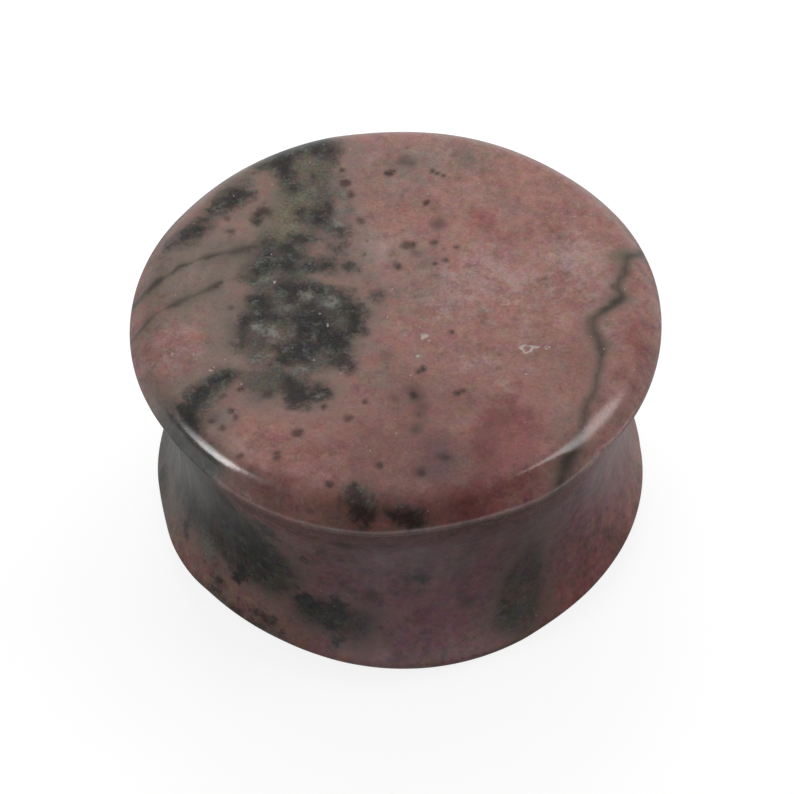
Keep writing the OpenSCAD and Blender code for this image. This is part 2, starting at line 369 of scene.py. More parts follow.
# Specks, as balls of their own colour
BROWN_SPECKS = [
    face(-2.5, -7.75, 0.24), face(-5, -8.6, 0.26), face(-6, -10.05, 0.2), face(-6, -9.8, 0.17),
    face(-7.8, -9.9, 0.18), face(-1, -10.7, 0.2), face(-8.3, -7.1, 0.17), face(-9.3, -7.7, 0.17),
    face(-8.7, -8.2, 0.16), face(-7.9, -5.7, 0.16), face(-6.5, -6.1, 0.24), face(-3.4, -11.8, 0.22),
    face(-6.2, -11.8, 0.3), face(-6.6, -11.9, 0.24), face(-3.7, -7, 0.18), face(-1.6, -6.8, 0.13),
    face(-8.4, -11.5, 0.18), face(-0.1, 9.2, 0.24), face(0.1, 9.4, 0.17), face(2.3, 9.35, 0.15),
    face(2.6, 9.15, 0.15), face(2.9, 8.9, 0.12), face(1.9, 6.9, 0.2), face(0.75, 3.8, 0.28),
    face(1, 3.8, 0.26), face(2.2, 3.95, 0.2), face(3.4, 3.5, 0.15), face(0.2, 2.3, 0.22),
    face(2.2, 2.4, 0.14), face(2.75, 2.6, 0.15), face(2.85, -2.4, 0.17), face(1.3, -4.8, 0.19),
    face(1.1, -4.9, 0.14), face(3, -6.4, 0.17), face(3.2, -6.3, 0.12), face(-1.7, 5.7, 0.22),
    face(-2.5, 8.6, 0.28), face(-2.2, 7.7, 0.24), face(-7, 6.6, 0.3), face(-8.7, 5.2, 0.2),
    face(-9.3, 1.2, 0.1), face(-2.7, 9.6, 0.2), Ball(5, -13, 14.5, 0.35), Ball(4.4, -13.1, 14.5, 0.25),
    Ball(-4.5, -12.9, 14.5, 0.2), face(0.8, -6.4, 0.2), face(1.05, -11.3, 0.17), face(2.2, -10.35, 0.14),
]
GREY_SPECKS = [
    face(-7.2, -10.9, 0.3), face(0.8, 10.2, 0.35), face(1.1, 10, 0.25), face(2.5, 5.3, 0.4),
    face(0.8, -6.2, 0.34), face(0.95, -6.6, 0.32), face(1.15, -7.2, 0.24), face(1.05, -7.6, 0.2),
    face(0.8, -8.6, 0.18), face(1, -11.2, 0.28), face(2.3, -10.4, 0.24), face(2, -10.3, 0.2),
    face(1.2, 3.2, 0.2), face(-0.2, -6.6, 0.14), waist(257, 11, 0.5), waist(262, 6, 0.3),
    waist(285, 5, 0.35), waist(300, 9.5, 0.3),
]

# Broken pits in the upper face, with the share of their radius where the broken stone shows
# whitest, and how whitish it is
Pit = namedtuple("Pit", "x y wide high depth ring white")
PITS = [
    Pit(5.65, -0.3, 0.4, 0.32, 0.03, 0.95, 0.35),
    Pit(6.65, -3.65, 0.3, 0.25, 0.05, 0.9, 1.0),
    Pit(7.15, -3.55, 0.2, 0.1, 0.03, 0.3, 0.8),
    Pit(7.7, -3.6, 0.2, 0.17, 0.03, 0.6, 0.6),
    Pit(6.5, -5.3, 0.08, 0.08, 0.02, 0.0, 0.9),
    Pit(1.45, -2.6, 0.18, 0.22, 0.03, 0.4, 0.75),
    Pit(1.7, -2.9, 0.13, 0.1, 0.02, 0.0, 0.6),
    Pit(1.1, -3.9, 0.24, 0.14, 0.02, 0.0, 0.7),
    Pit(-0.4, -1.2, 0.09, 0.12, 0.02, 0.0, 0.6),
    Pit(-11.45, -3.25, 0.11, 0.18, 0.02, 0.0, 0.7),
    Pit(-10.35, -3.3, 0.08, 0.12, 0.02, 0.0, 0.6),
    Pit(-9.45, -4.4, 0.16, 0.11, 0.03, 0.0, 0.8),
    Pit(-8.1, -7.1, 0.1, 0.07, 0.02, 0.0, 0.6),
    Pit(-6.3, 1.45, 0.09, 0.16, 0.02, 0.0, 1.0),
    Pit(-3.5, -1.65, 0.06, 0.22, 0.02, 0.0, 1.0),
    Pit(-3.9, -0.85, 0.08, 0.08, 0.01, 0.0, 0.9),
    Pit(-4.2, -3.95, 0.07, 0.08, 0.01, 0.0, 0.9),
    Pit(-5.3, -3.1, 0.05, 0.07, 0.01, 0.0, 0.8),
    Pit(-2.85, -4.9, 0.05, 0.07, 0.01, 0.0, 0.8),
]
# Cuts of each mesh edge near a pit, how far from its middle they go, as a share of its size
# and a margin in millimetres, and how far under the upper face a point still belongs to it
PIT_CUTS = 3
PIT_REACH = 1.6
PIT_MARGIN = 0.15
PIT_SKIN = 0.05


def arithmetic(operation, swapped=False):
    """A method of Signal that adds one Math node."""
    def method(self, *others):
        values = (*others, self) if swapped else (self, *others)
        return self.maths(operation, *values)
    return method


class Signal:
    """One output of a node. Arithmetic on it adds Math nodes to the same tree."""

    def __init__(self, graph, socket):
        self.graph = graph
        self.socket = socket

    def maths(self, operation, *values):
        settings = {"operation": operation}
        return self.graph.node("ShaderNodeMath", settings, dict(enumerate(values)))

    __add__ = arithmetic("ADD")
    __radd__ = arithmetic("ADD", swapped=True)
    __sub__ = arithmetic("SUBTRACT")
    __rsub__ = arithmetic("SUBTRACT", swapped=True)
    __mul__ = arithmetic("MULTIPLY")
    __rmul__ = arithmetic("MULTIPLY", swapped=True)
    __truediv__ = arithmetic("DIVIDE")
    __abs__ = arithmetic("ABSOLUTE")
    larger = arithmetic("MAXIMUM")
    cos = arithmetic("COSINE")
    sin = arithmetic("SINE")
    # 1 where the first is more than the second, and 0 elsewhere
    over = arithmetic("GREATER_THAN")

    def ramp(self, start, end, shape):
        return self.graph.node("ShaderNodeMapRange", {"interpolation_type": shape},
                               {"Value": self, "From Min": start, "From Max": end})

    def between(self, start, end):
        """0 at start and before it, 1 at end and after it, and straight in between."""
        return self.ramp(start, end, "LINEAR")

    def ease(self, start, end):
        """0 at start and before it, 1 at end and after it, and eased in between."""
        return self.ramp(start, end, "SMOOTHSTEP")


class Graph:
    """Builds one node tree."""

    def __init__(self, tree):
        self.tree = tree
        tree.nodes.clear()

    def node(self, kind, settings=None, sockets=None, output=0):
        """Adds a node: its settings first, then the values or links of its sockets."""
        made = self.tree.nodes.new(kind)
        for name, value in (settings or {}).items():
            if name == "points":
                self.draw_curve(made.mapping, value)
            else:
                setattr(made, name, value)
        for key, value in (sockets or {}).items():
            socket = self.find(made.inputs, key)
            for each in value if isinstance(value, list) else [value]:
                if isinstance(each, Signal):
                    self.tree.links.new(each.socket, socket)
                elif socket.type == "RGBA":
                    socket.default_value = (*each[:3], 1.0)
                else:
                    socket.default_value = each
        if isinstance(output, tuple):
            return [Signal(self, self.find(made.outputs, key)) for key in output]
        return Signal(self, self.find(made.outputs, output)) if made.outputs else None

    @staticmethod
    def find(sockets, key):
        """A socket by its place, or by its name, among those that are in use."""
        in_use = [socket for socket in sockets if socket.enabled]
        if isinstance(key, int):
            return in_use[key]
        return next(socket for socket in in_use if socket.name == key)

    @staticmethod
    def draw_curve(mapping, points):
        """Gives a Float Curve its points, from 0 to 1 both ways."""
        curve = mapping.curves[0]
        while len(curve.points) < len(points):
            curve.points.new(0.5, 0.5)
        for point, (along, height) in zip(curve.points, points):
            point.location = (along, height)
        mapping.update()

    def curve(self, value, points):
        return self.node("ShaderNodeFloatCurve", {"points": points}, {"Value": value})

    def blend(self, amount, first, second):
        """first where amount is 0 and second where it is 1, for plain values."""
        return self.node("ShaderNodeMix", {"data_type": "FLOAT"},
                         {"Factor": amount, "A": first, "B": second})

    def tint(self, colour, amount, other, how="MIX"):
        """colour, with other laid over it by amount."""
        return self.node("ShaderNodeMix", {"data_type": "RGBA", "blend_type": how},
                         {"Factor": amount, "A": colour, "B": other})

    def vector(self, x, y, z):
        return self.node("ShaderNodeCombineXYZ", None, {"X": x, "Y": y, "Z": z})

    def parts(self, vector):
        return self.node("ShaderNodeSeparateXYZ", None, {"Vector": vector}, ("X", "Y", "Z"))

    def scaled(self, vector, factor):
        return self.node("ShaderNodeVectorMath", {"operation": "SCALE"},
                         {"Vector": vector, "Scale": factor})

    def moved(self, vector, step):
        return self.node("ShaderNodeVectorMath", {"operation": "ADD"}, {0: vector, 1: step})

    def distance(self, place, other):
        return self.node("ShaderNodeVectorMath", {"operation": "DISTANCE"},
                         {0: place, 1: other}, "Value")

    def placed(self, geometry, place):
        return self.node("GeometryNodeSetPosition", None, {"Geometry": geometry, "Position": place})

    def noise_node(self, output, place, scale, detail, roughness):
        sockets = {"Vector": place, "Scale": scale, "Detail": detail, "Roughness": roughness}
        return self.node("ShaderNodeTexNoise", None, sockets, output)

    def noise(self, place, scale, detail=2.0, roughness=0.5):
        """Noise round 0, mostly from -0.5 to 0.5."""
        return self.noise_node(0, place, scale, detail, roughness) - 0.5

    def noise_colour(self, place, scale, detail=2.0, roughness=0.5):
        """Noise round 0, of its own in each of three channels."""
        return self.moved(self.noise_node("Color", place, scale, detail, roughness), (-0.5, -0.5, -0.5))


def length_property(name, description, default, least, most, precision=5):
    return bpy.props.FloatProperty(name=name, description=description, default=default,
                                   min=least, max=most, precision=precision, unit="LENGTH")


class PlugSizes(bpy.types.PropertyGroup):
    flare_radius: length_property(
        "Flare Radius", "Radius of the two flares at their widest lines", FLARE_R, 0.0135, 0.018)
    gauge_radius: length_property(
        "Gauge Radius", "Radius of the waist at its middle", GAUGE_R, 0.008, 0.013)
    length: length_property("Length", "Distance from face to face", LENGTH, 0.011, 0.022)
    flare_height: length_property(
        "Flare Height", "Distance from a face to the widest line next to it", FLARE_HEIGHT, 0.001, 0.0025)
    corner_radius: length_property(
        "Corner Radius", "Radius where a flat face and its bevel would meet", 0.01284, 0.0125, 0.0131)
    edge_round: length_property(
        "Edge Round", "Radius of the widest line of a flare", 0.0005, 0.0003, 0.0006)
    crease_round: length_property(
        "Crease Round", "Radius between the lower face and its bevel", 0.0008, 0.0004, 0.0009)
    ripple: length_property(
        "Ripple", "How far the hand polished waist rises and falls", 0.00004, 0.0, 0.0001, 6)


def colour_property(name, description, default):
    return bpy.props.FloatVectorProperty(name=name, description=description, default=default,
                                         subtype="COLOR", size=3, min=0.0, max=1.0)


class StoneColours(bpy.types.PropertyGroup):
    pink: colour_property("Pink", "Main colour of the stone", (0.35, 0.168, 0.144))
    pale: colour_property("Pale", "Milky clouds in the pink", (0.41, 0.25, 0.225))
    rose: colour_property("Rose", "Warmer, stronger zones of the pink", (0.27, 0.09, 0.085))
    tan: colour_property("Tan", "Buff zones round the dark markings", (0.21, 0.16, 0.13))
    olive: colour_property("Olive", "Green tinged zones", (0.165, 0.145, 0.095))
    grey: colour_property("Grey", "Mauve grey clouds", (0.17, 0.125, 0.118))
    # Dusk also paints shade at the front of the plug and under its upper flare
    dusk: colour_property("Dusk", "Shade by which the duskier zones are darkened", (0.55, 0.5, 0.5))
    smoke: colour_property("Smoke", "Brown grey ground of the dark zones", (0.085, 0.072, 0.058))
    slate: colour_property("Slate", "Green grey mottling in the dark zones", (0.085, 0.088, 0.074))
    charcoal: colour_property("Charcoal", "Darkest mineral", (0.0145, 0.014, 0.015))
    frost: colour_property("Frost", "Pale, green tinged wisps", (0.24, 0.235, 0.205))
    plum: colour_property("Plum", "Purple zones of the pink", (0.27, 0.115, 0.15))
    halo: colour_property("Halo", "Olive grey stone along the veins", (0.17, 0.135, 0.105))
    vein: colour_property("Vein", "Brown black veins", (0.045, 0.031, 0.025))
    speck: colour_property("Speck", "Red brown specks", (0.074, 0.038, 0.033))
    # Fleck whitens the broken pits, and at pinpricks all over it is a painted glint
    fleck_and_painted_glint: colour_property("Fleck", "Broken, whitish spots", (0.6, 0.52, 0.48))


def round_the_plug(table, centre):
    """The points of a Float Curve for a table by angle, round a middle height."""
    return [(angle / 360, centre + out * MM / CURVE_REACH) for angle, out in table.items()]


def turn_of(x, y):
    """The angle round the plug's axis, as a share of a full turn."""
    share = x.maths("ARCTAN2", y, x) / (2 * math.pi)
    return share.maths("FRACT", share)


def section(graph, sizes, turn, upper):
    """The rounds of the section at one turn: the radius at which the edge round has its
    centre, the bevel's lean, the crease's radius and the radius at which it has its centre."""
    out = graph.blend(upper, graph.curve(turn, round_the_plug(LOWER_WANDER, 0.5)),
                      graph.curve(turn, round_the_plug(UPPER_WANDER, 0.5)))
    edge = sizes["edge_round"]
    edge_r = sizes["flare_radius"] - edge + (out - 0.5) * CURVE_REACH
    roll = graph.curve(turn, round_the_plug(CREASE_ROLL, 0.0)) * CURVE_REACH
    crease = graph.blend(upper, sizes["crease_round"], roll)
    stray = (graph.curve(turn, round_the_plug(CORNER_WANDER, 0.5)) - 0.5) * CURVE_REACH
    corner = sizes["corner_radius"] + stray * upper

    # The bevel starts at the corner and touches the edge round
    run, drop = edge_r - corner, sizes["flare_height"]
    reach = run.maths("SQRT", run * run + drop * drop)
    lean = run.maths("ARCCOSINE", -1 * edge / reach) - run.maths("ARCTAN2", drop, run)
    crease_r = corner - crease * run.maths("TANGENT", math.pi / 4 - lean / 2)
    return edge_r, lean, crease, crease_r


def side_of_plug(graph, sizes):
    """The side: a grid whose rows climb the section and whose columns go round the axis."""
    rows = [0, WAIST_ROWS, WAIST_ROWS + EDGE_ROWS, WAIST_ROWS + EDGE_ROWS + BEVEL_ROWS]
    rows.append(rows[-1] + CREASE_ROWS)
    mesh = graph.node("GeometryNodeMeshGrid", None,
                      {"Size X": 1.0, "Size Y": 2.0, "Vertices X": COLUMNS + 1,
                       "Vertices Y": 2 * rows[-1] + 1})
    x, y, _ = graph.parts(graph.node("GeometryNodeInputPosition"))
    turn = x + 0.5
    row = abs(y) * rows[-1]
    on_waist, on_edge, on_bevel, on_crease = (
        row.between(first, last) for first, last in zip(rows, rows[1:]))
    edge, gauge, length = sizes["edge_round"], sizes["gauge_radius"], sizes["length"]
    edge_r, lean, crease, crease_r = section(graph, sizes, turn, y.over(0.0))
    edge_h = length / 2 - sizes["flare_height"]
    crease_h = length / 2 - crease

    # The waist is one arc, which meets the edge round at this angle
    run = gauge - edge_r
    arc = (run * run + edge_h * edge_h - edge * edge) / (2 * (edge - run))
    meet = arc.maths("ARCTAN2", edge_h, gauge + arc - edge_r)

    # Each stretch adds its own run to the radius and to the height over the waist
    waist_angle = on_waist * meet
    edge_angle = on_edge * (lean + meet) - meet
    crease_angle = lean + on_crease * (math.pi / 2 - lean)
    radius = (
        gauge + arc * (1 - waist_angle.cos())
        + edge * (edge_angle.cos() - meet.cos())
        + on_bevel * (crease_r - edge_r + (crease - edge) * lean.cos())
        + crease * (crease_angle.cos() - lean.cos())
    )
    height = (
        arc * waist_angle.sin()
        + edge * (edge_angle.sin() + meet.sin())
        + on_bevel * (crease_h - edge_h + (crease - edge) * lean.sin())
        + crease * (crease_angle.sin() - lean.sin())
    )
    angle = turn * (2 * math.pi)
    place = graph.vector(radius * angle.cos(), radius * angle.sin(),
                         length / 2 + height * y.maths("SIGN", y))
    return graph.placed(mesh, place)


def faces_of_plug(graph, sizes):
    """The faces: a square grid pressed into a disc, whose rim meets the side's columns."""
    across = COLUMNS // 4 + 1
    square = graph.node("GeometryNodeMeshGrid", None,
                        {"Size X": 2.0, "Size Y": 2.0, "Vertices X": across,
                         "Vertices Y": across})
    x, y, _ = graph.parts(graph.node("GeometryNodeInputPosition"))
    wide = abs(x).over(abs(y))
    out = graph.blend(wide, y, x)
    bend = graph.blend(wide, math.pi / 2 - x / y * (math.pi / 4), y / x * (math.pi / 4))
    flat_x = out * bend.cos()
    flat_y = out * bend.sin()
    turn = turn_of(flat_x, flat_y)
    faces = []
    for upper, level in ((1.0, sizes["length"]), (0.0, 0.0)):
        *_, rim_r = section(graph, sizes, turn, upper)
        faces.append(graph.placed(square, graph.vector(flat_x * rim_r, flat_y * rim_r, level)))
    return faces[0], graph.node("GeometryNodeFlipFaces", None, {"Mesh": faces[1]})


def plug_tree(names, material):
    """The Geometry Nodes tree that turns the plug from its named sizes."""
    tree = bpy.data.node_groups.new("turned_plug", "GeometryNodeTree")
    graph = Graph(tree)
    tree.interface.new_socket("Geometry", in_out="OUTPUT", socket_type="NodeSocketGeometry")
    identifiers = {}
    for key, name in names.items():
        socket = tree.interface.new_socket(name, in_out="INPUT", socket_type="NodeSocketFloat")
        socket.subtype = "DISTANCE"
        identifiers[key] = socket.identifier
    given = graph.node("NodeGroupInput", None, None, tuple(names.values()))
    sizes = dict(zip(names, given))
    side = side_of_plug(graph, sizes)
    upper, lower = faces_of_plug(graph, sizes)
    plug = graph.node("GeometryNodeJoinGeometry", None, {"Geometry": [side, upper, lower]})
    plug = graph.node("GeometryNodeMergeByDistance", None,
                      {"Geometry": plug, "Distance": MERGE_REACH})

    # Polished by hand: slow ripples on the waist, and an upper face that isn't quite flat
    position = graph.node("GeometryNodeInputPosition")
    x, y, z = graph.parts(position)
    share = z / sizes["length"]
    middle = share.ease(0.1, 0.3) * (1 - share.ease(0.7, 0.9))
    swell = graph.noise(position, 180.0, 1.0) * sizes["ripple"] * middle * (2 / GAUGE_R)
    face_wave = graph.noise(position, 230.0, 1.0) * share.ease(0.96, 0.995) * FACE_WAVE
    offset = graph.vector(x * swell, y * swell, face_wave)
    plug = graph.node("GeometryNodeSetPosition", None, {"Geometry": plug, "Offset": offset})
    plug = graph.node("GeometryNodeSetShadeSmooth", None, {"Geometry": plug})
    plug = graph.node("GeometryNodeRealizeInstances", None, {"Geometry": plug})
    plug = graph.node("GeometryNodeSetMaterial", None, {"Geometry": plug, "Material": material})
    graph.node("NodeGroupOutput", None, {"Geometry": plug})
    return tree, identifiers


def turned_plug(settings, material):
    """Evaluates the tree on an empty mesh, and returns the plug as a plain mesh object."""
    names = {key: settings.bl_rna.properties[key].name for key in PlugSizes.__annotations__}
    tree, identifiers = plug_tree(names, material)
    blank = bpy.data.objects.new("blank", bpy.data.meshes.new("blank"))
    bpy.context.scene.collection.objects.link(blank)
    modifier = blank.modifiers.new("turned_plug", "NODES")
    modifier.node_group = tree
    for key, identifier in identifiers.items():
        modifier[identifier] = getattr(settings, key)
    bpy.context.view_layer.update()
    graph = bpy.context.evaluated_depsgraph_get()
    mesh = bpy.data.meshes.new_from_object(blank.evaluated_get(graph))
    blank.modifiers.remove(modifier)
    bpy.data.objects.remove(blank)
    plug = bpy.data.objects.new("polished_plug", mesh)
    bpy.context.scene.collection.objects.link(plug)
    return plug


def cut_pits(mesh):
    """Breaks the pits out of the upper face, on a finer mesh round each of them."""
    form = bmesh.new()
    form.from_mesh(mesh)
    chipped = form.verts.layers.float.new("chip")
    centres = np.array([(pit.x, pit.y) for pit in PITS]) * MM
    reaches = np.array([max(pit.wide, pit.high) * PIT_REACH + PIT_MARGIN for pit in PITS]) * MM
    lowest = LENGTH - PIT_SKIN * MM
    near = set()
    for vert in form.verts:
        if vert.co.z > lowest and (np.hypot(*(centres - vert.co.xy).T) < reaches).any():
            near.add(vert)
    edges = [edge for edge in form.edges if edge.verts[0] in near and edge.verts[1] in near]
    bmesh.ops.subdivide_edges(form, edges=edges, cuts=PIT_CUTS, use_grid_fill=True)
    for vert in form.verts:
        if vert.co.z < lowest:
            continue
        for pit, centre, reach in zip(PITS, centres, reaches):
            if abs(vert.co.x - centre[0]) > reach or abs(vert.co.y - centre[1]) > reach:
                continue
            right = (vert.co.x / MM - pit.x) / pit.wide
            up = (vert.co.y / MM - pit.y) / pit.high
            angle = math.atan2(up, right)
            ragged = 1 + 0.16 * math.sin(3 * angle + pit.x) + 0.1 * math.sin(5 * angle + 2 * pit.y)
            out = math.hypot(right, up) / ragged
            if out < 1:
                vert.co.z -= pit.depth * MM * min(1.0, (1 - out) * 2.5)
            broken = 0.8 + 0.2 * math.sin(2 * angle + 5 * pit.x)
            spread = 0.3 if pit.ring > 0.5 else 0.8
            white = math.exp(-((out - pit.ring) / spread) ** 2) * broken * pit.white
            vert[chipped] = max(vert[chipped], white)
    form.to_mesh(mesh)
    form.free()


def points_of(mesh):
    """The mesh's vertices as an array, in millimetres."""
    points = np.empty(len(mesh.vertices) * 3)
    mesh.vertices.foreach_get("co", points)
    return points.reshape(-1, 3) / MM


def store(mesh, name, values):
    mesh.attributes.new(name, "FLOAT", "POINT").data.foreach_set("value", values)


def chain_depth(points, balls):
    """How deep each point lies in a chain of balls, in millimetres, below 0 outside it."""
    best = np.full(len(points), -1e3)
    for first, second in zip(balls, balls[1:]):
        start = np.array(first[:3])
        run = np.array(second[:3]) - start
        along = np.clip((points - start) @ run / (run @ run), 0, 1)
        nearest = start + along[:, None] * run
        radius = first.radius + along * (second.radius - first.radius)
        best = np.maximum(best, radius - np.linalg.norm(points - nearest, axis=1))
    return best


def zone_depth(points, zones):
    """How deep each point lies in the deepest zone, down to 3 mm outside them all."""
    depth = np.full(len(points), -3.0)
    for zone in zones:
        depth = np.maximum(depth, np.minimum(chain_depth(points, zone.balls), zone.core))
    return depth


def tint_strength(points, tints):
    strength = np.zeros(len(points))
    for ball in tints:
        away = np.linalg.norm(points - np.array(ball[:3]), axis=1)
        strength += ball.strength * np.exp(-(away / ball.radius) ** 2)
    return strength


def lay_markings(mesh):
    """Stores on every vertex how deep it lies in the zones, and each tint's strength."""
    points = points_of(mesh)
    dark = zone_depth(points, DARK_ZONES) - tint_strength(points, CLEARINGS)
    store(mesh, "dark", dark)
    store(mesh, "smoke", zone_depth(points, SMOKE_ZONES))
    for name, tints in TINTS.items():
        store(mesh, name, tint_strength(points, tints))


def vein_curve(graph, vein, along, values, low, high):
    """A value along a vein, which is between low and high at its stations."""
    first, last = vein.stations[0].along, vein.stations[-1].along
    points = [((station.along - first) / (last - first), (value - low) / (high - low))
              for station, value in zip(vein.stations, values)]
    return graph.curve(along.between(first, last), points) * (high - low) + low


def vein_offset(graph, vein, place, wiggle):
    """How far a place is from the vein's middle, and the vein's half width there."""
    x, y, z = graph.parts(place)
    along, across = (y, x) if vein.runs_along == "y" else (x, y)
    strays = [station.across for station in vein.stations]
    halves = [station.half_width for station in vein.stations]
    middle = vein_curve(graph, vein, along, strays, min(strays), max(strays))
    half = vein_curve(graph, vein, along, halves, *VEIN_HALF_WIDTHS)
    return abs(across + wiggle - middle - (TOP - z) * vein.drift), half


def speck_depth(graph, place, specks):
    """How deep a place lies in the nearest speck, in millimetres."""
    deepest = -1.0
    for speck in specks:
        depth = speck.radius - graph.distance(place, speck[:3])
        deepest = depth.larger(deepest)
    return deepest


def stone_material(colours):
    """Polished pink stone with dark zones, veins, specks and broken flecks."""
    material = bpy.data.materials.new("polished_stone")
    material.use_nodes = True
    graph = Graph(material.node_tree)
    place = graph.scaled(graph.node("ShaderNodeTexCoord", None, None, "Object"), 1 / MM)
    stray = graph.noise_colour(place, 1.6)
    strayed = graph.moved(place, graph.scaled(stray, 0.6))
    ragged = graph.moved(place, graph.scaled(stray, 0.35))

    def zone(name):
        return graph.node("ShaderNodeAttribute", {"attribute_name": name}, None, "Fac")

    # Noise at the scales of the stone: clouds, blotches, grain and dust
    height = graph.parts(place)[2]
    side = height.ease(0.3, 1.3) * (1 - height.ease(TOP - 1.3, TOP - 0.3))
    cloud = graph.noise(place, 0.17, 3.0)
    blotch = graph.noise(strayed, 0.62, 4.0, 0.6)
    hue = graph.noise(graph.moved(strayed, (41.0, 3.0, 13.0)), 0.8, 4.0, 0.65)
    milk = graph.noise(graph.moved(strayed, (7.0, 29.0, 19.0)), 1.1, 4.0, 0.65)
    grain = graph.noise(place, 2.3, 3.0, 0.65)
    dust = graph.noise(graph.moved(place, (31.0, 7.0, 3.0)), 6.5, 2.0, 0.6)
    crumble = graph.noise(graph.moved(strayed, (5.0, 17.0, 9.0)), 1.05, 5.0, 0.62)
    inner = graph.noise(graph.moved(strayed, (11.0, 2.0, 23.0)), 1.7, 4.0, 0.7)
    mottle = graph.noise_colour(place, 1.5, 3.0, 0.7)

    def mottled(colour, shade, chroma):
        """colour, darkened and lightened by shade, and with a mottle of all hues."""
        every = graph.moved(graph.scaled(mottle, chroma), graph.vector(shade, shade, shade))
        return graph.tint(colour, 1.0, every, "MULTIPLY")

    # The pink ground: salmon and mauve blotches, milky clouds, and a darkening that is partly duskier
    # stone and partly painted shade
    colour = graph.tint(colours.pink, (zone("milky") + cloud * 0.7 + milk).ease(0.0, 0.32), colours.pale)
    rose = zone("rose") * 1.1 + cloud * 0.8 + hue * 2.2 + grain * 0.4
    colour = graph.tint(colour, rose.ease(0.1, 1.1) * 0.85, colours.rose)
    tan = zone("tan") - cloud * 0.7 - hue * 2.0 + grain * 0.5
    colour = graph.tint(colour, tan.ease(0.1, 1.1) * 0.85, colours.tan)
    grey = zone("grey") + blotch * 1.9 + grain * 0.7
    colour = graph.tint(colour, grey.ease(0.2, 1.1) * 0.8, colours.grey)
    olive = zone("olive") + blotch * 1.2 + grain * 0.6
    colour = graph.tint(colour, olive.ease(0.15, 0.95) * 0.85, colours.olive)
    plum = zone("plum") + hue * 1.4 + grain * 0.6
    colour = graph.tint(colour, plum.ease(0.1, 1.1) * 0.8, colours.plum)
    # Painted shade, mixed with the stone's duskier tone: the dusk tint darkens the front of the upper
    # face, its front bevel and the low front of the waist, where shade falls under the upper flare
    dusk = zone("dusk") + blotch * 1.0 + hue * 0.6 + grain * 0.4
    colour = graph.tint(colour, dusk.ease(0.15, 1.0) * 0.8, colours.dusk, "MULTIPLY")
    shade = 1 + blotch * (0.8 + side * 0.9) + grain * (0.9 + side * 0.5) + dust * 0.7
    colour = mottled(colour, shade, 0.6 + side * 0.4)

    # The dark zones: brown grey smoke, and blobs in it that are nearly black
    dark = zone("dark")
    haze = zone("smoke") + blotch * 2.0 + grain * 1.4
    near = graph.tint(colour, (haze + 0.9).ease(-1.0, 0.6) * 0.5, colours.tan)
    smoke = graph.tint(colours.smoke, (inner * 1.3 + dust * 0.4).ease(-0.1, 0.3), colours.slate)
    smoke = graph.tint(smoke, zone("olive").ease(0.2, 1.2) * 0.8, colours.olive)
    depth = 1 - dark.ease(-0.9, 0.3) * 0.25
    smoke = graph.tint(smoke, (milk * 3.0 * side).ease(0.0, 0.7), colours.olive)
    depth = depth + (crumble * 3.0 + blotch * 1.5 - 0.25) * side
    smoke = mottled(smoke, depth + grain * 1.5 + dust * 1.8, 1.0 + side * 0.8)
    colour = graph.tint(near, haze.ease(-0.6, 0.6) * 0.88, smoke)
    mineral = graph.tint(colours.charcoal, (inner * 2.6 - dark * 0.15).ease(-0.1, 0.4),
                         colours.slate)
    mineral = mottled(mineral, 1 + grain * 2.4 + dust * 2.2, 1.2)
    black = dark * 1.2 + crumble * (1.9 + side * 2.6) + grain * 1.6 + dust * 0.6
    colour = graph.tint(colour, black.ease(-0.45, 0.6) * (0.86 + hue * 0.5), mineral)
    frost = zone("frost") * 1.4 - abs(inner) * 5.0 + grain * 1.4 + dust * 0.6
    colour = graph.tint(colour, frost.ease(0.1, 1.1) * 0.8, colours.frost)

    # Veins, each with a faint olive halo
    wiggle = grain * 0.4 + dust * 0.12
    for vein in VEINS:
        offset, half = vein_offset(graph, vein, place, wiggle)
        halo = (half * 2.4 + 0.3 - offset + blotch * 1.4 + grain * 0.6).ease(-0.4, 0.9)
        halo = halo * height.ease(4.0, TOP - 0.5)
        colour = graph.tint(colour, halo * 0.75, colours.halo)
        line = half - offset + grain * 0.3 + dust * 0.25
        strength = height.ease(TOP - 3.5, TOP - 1.5) * (0.82 + blotch * 1.4)
        colour = graph.tint(colour, line.ease(-vein.soft, 0.3) * strength, colours.vein)

    # Specks
    brown = speck_depth(graph, ragged, BROWN_SPECKS) + dust * 0.3 + grain * 0.3
    colour = graph.tint(colour, brown.ease(-0.16, 0.16) * (0.9 + hue * 1.2), colours.speck)
    dull = speck_depth(graph, ragged, GREY_SPECKS) + dust * 0.3 + grain * 0.5
    colour = graph.tint(colour, dull.ease(-0.35, 0.3) * 0.5, colours.charcoal)

    # Pepper, which is thickest near the dark zones
    corn, lot = graph.node("ShaderNodeTexVoronoi", None, {"Vector": ragged, "Scale": 0.8},
                           ("Distance", "Color"))
    size = graph.parts(lot)[1] * 0.16 + (zone("smoke") + 0.4).ease(-2.6, 0.4) * 0.1 - 0.09
    pepper = (size - corn + dust * 0.12).ease(-0.1, 0.1)
    colour = graph.tint(colour, pepper * 0.7, colours.speck)

    # Broken spots, and pinpricks all over that are whitened as painted glints; the relief below also
    # dents the pinpricks
    chip = zone("chip") + dust * 0.25
    colour = graph.tint(colour, chip.ease(0.15, 0.75) * 0.8, colours.fleck_and_painted_glint)
    glint_prick, lot = graph.node("ShaderNodeTexVoronoi", None, {"Vector": place, "Scale": 1.4},
                            ("Distance", "Color"))
    painted_light = graph.parts(lot)[0].ease(0.35, 1.0) * (1 - glint_prick.ease(0.03, 0.11))
    colour = graph.tint(colour, painted_light * 0.5, colours.fleck_and_painted_glint)

